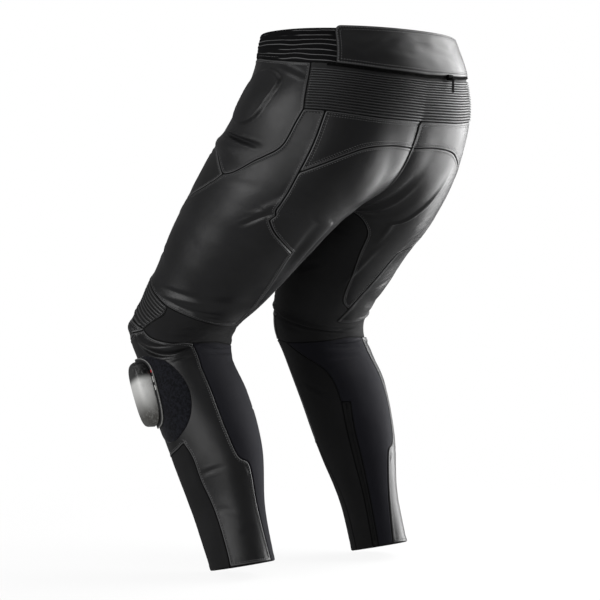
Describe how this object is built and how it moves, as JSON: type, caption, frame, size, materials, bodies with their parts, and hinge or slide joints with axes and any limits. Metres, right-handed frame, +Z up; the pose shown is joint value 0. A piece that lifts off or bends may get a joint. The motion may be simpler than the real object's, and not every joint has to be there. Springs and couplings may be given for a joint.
{
  "type": "motorcycle trousers",
  "caption": "Leather race trousers for motorcycling, empty and filled out in a riding pose, with ribbed stretch yoke, knee sliders and a kidney flap.",
  "frame": {"origin": "middle of the waist opening, where the wearer holds the trousers up", "axes": "+Z up through the waist opening, the front looks along -Y, and the wearer's left leg is at +X"},
  "size_m": [0.4704, 0.4596, 0.7691],
  "materials": {
    "leather": "semi-gloss black leather",
    "stretch": "matt black stretch cloth",
    "textile": "matt black woven cloth",
    "knit": "matt bluish black knit",
    "zip_tape": "matt black woven tape",
    "loop": "matt black loop fastener",
    "slider_plastic": "satin grey hard plastic",
    "base_plastic": "matt black plastic",
    "dark_metal": "dark satin metal"
  },
  "bodies": {
    "garment": {"back_accordion": "leather", "centre_back_strip": "leather", "fly_placket": "leather", "fly_snap": "dark_metal", "jacket_zip": "zip_tape", "kidney_flap": "leather", "left_ankle_zip": "zip_tape", "left_back_yoke": "leather", "left_calf_stretch": "knit", "left_front_shin": "textile", "left_front_thigh": "leather", "left_hip_front": "leather", "left_inner_shin": "textile", "left_knee_accordion": "leather", "left_knee_cap": "leather", "left_loop_patch": "loop", "left_outer_shin": "leather", "left_outer_thigh": "leather", "left_seat_thigh": "leather", "left_slider_base": "base_plastic", "left_slider_puck": "slider_plastic", "left_stretch_insert": "stretch", "left_waistband": "stretch", "right_ankle_zip": "zip_tape", "right_back_yoke": "leather", "right_calf_stretch": "knit", "right_front_shin": "textile", "right_front_thigh": "leather", "right_hip_front": "leather", "right_inner_shin": "textile", "right_knee_accordion": "leather", "right_knee_cap": "leather", "right_loop_patch": "loop", "right_outer_shin": "leather", "right_outer_thigh": "leather", "right_seat_thigh": "leather", "right_slider_base": "base_plastic", "right_slider_puck": "slider_plastic", "right_stretch_insert": "stretch", "right_waistband": "stretch", "zip_slider": "dark_metal"},
    "pull_tab": {"zip_pull": "dark_metal"}
  },
  "joints": [
    {"name": "pull_tab_swing", "type": "hinge", "parent": "garment", "child": "pull_tab", "pos_m": [-0.04669, 0.14081, -0.06813], "axis": [0.986, 0.1666, 0], "range_deg": [0, 150]}
  ]
}
